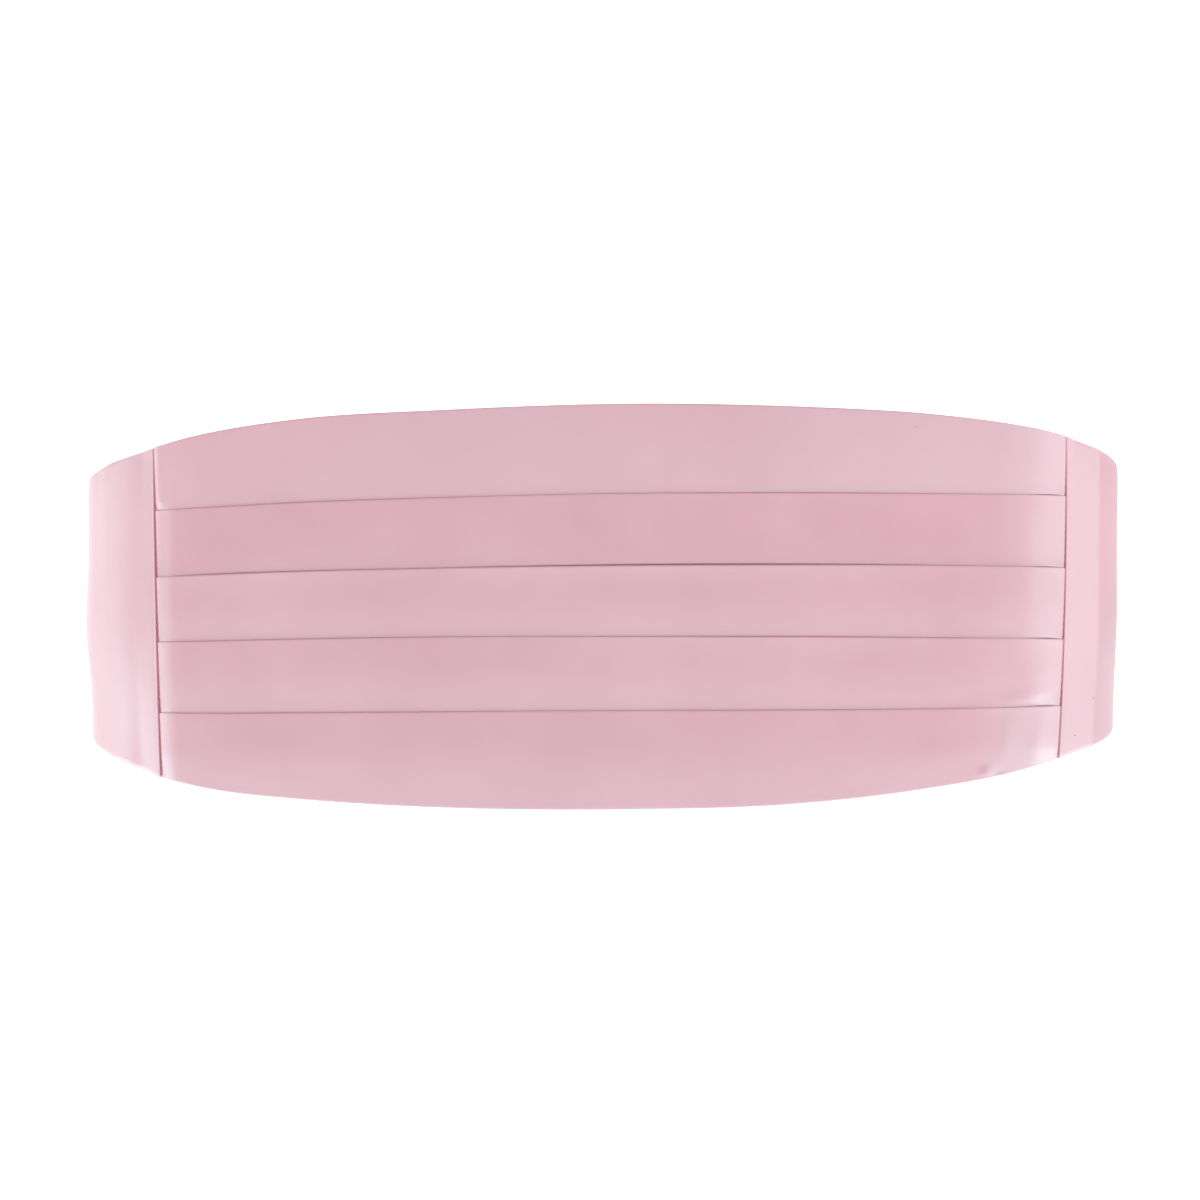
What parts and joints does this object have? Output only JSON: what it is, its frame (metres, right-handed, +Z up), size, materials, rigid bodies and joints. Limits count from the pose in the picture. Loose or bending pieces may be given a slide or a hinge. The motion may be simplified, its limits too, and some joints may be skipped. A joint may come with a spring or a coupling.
{
  "type": "pleated cummerbund",
  "caption": "Pleated satin waist sash in a closed loop: pleated front with upward folds, two tapered wings, and a plain strap with a clasp at the back.",
  "frame": {"origin": "middle of the waist hollow, at half the height of the pleated front", "axes": "+X to the right seen from the front, -Y out of the pleated front, +Z up along the waist"},
  "size_m": [0.3468, 0.2094, 0.1246],
  "materials": {
    "satin": "pale pink satin with a soft sheen",
    "strap": "pink ribbed webbing, matt",
    "clasp": "smooth pink plastic"
  },
  "bodies": {
    "root": {"pleated_front": "satin", "wing_left": "satin", "wing_right": "satin", "strap_left": "strap", "strap_right": "strap", "clasp": "clasp"}
  },
  "joints": []
}
